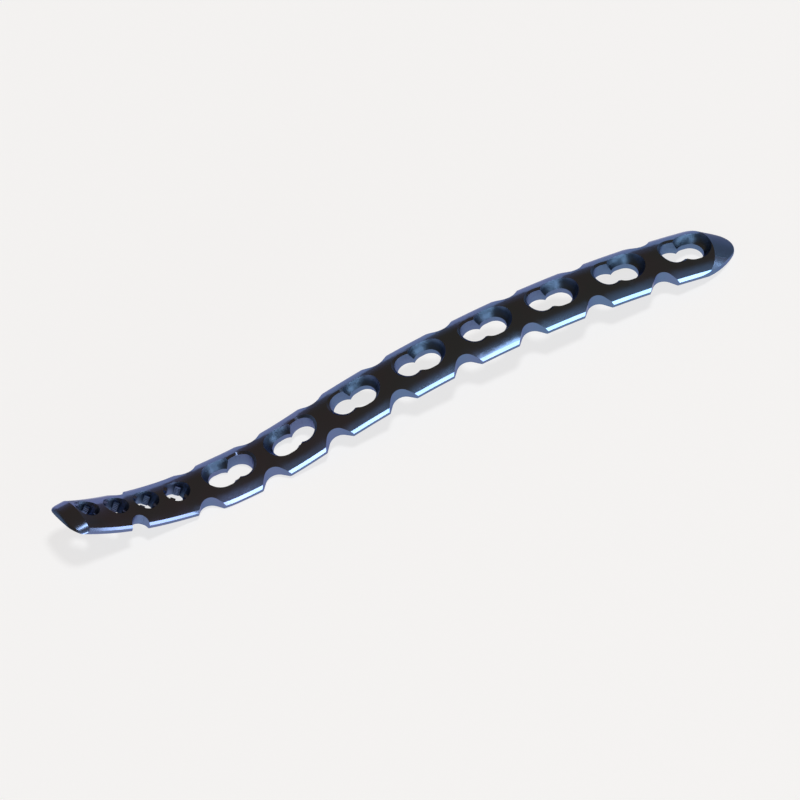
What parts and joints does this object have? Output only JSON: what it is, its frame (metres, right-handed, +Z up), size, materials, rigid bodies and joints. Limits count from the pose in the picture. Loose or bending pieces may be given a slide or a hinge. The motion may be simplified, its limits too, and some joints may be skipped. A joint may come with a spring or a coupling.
{
  "type": "orthopedic bone plate",
  "caption": "Long bowed bone plate with combination and star-shaped screw holes, notched edges, a pointed tip and a thin tail.",
  "frame": {"origin": "middle of the plate's outline, on the plane that it lies on", "axes": "+X from the flat tail to the pointed tip, +Y across the plate, +Z up out of its top"},
  "size_m": [0.133, 0.0109, 0.0112],
  "materials": {
    "titanium": "polished dark blue anodised titanium"
  },
  "bodies": {
    "root": {"plate": "titanium"}
  },
  "joints": []
}
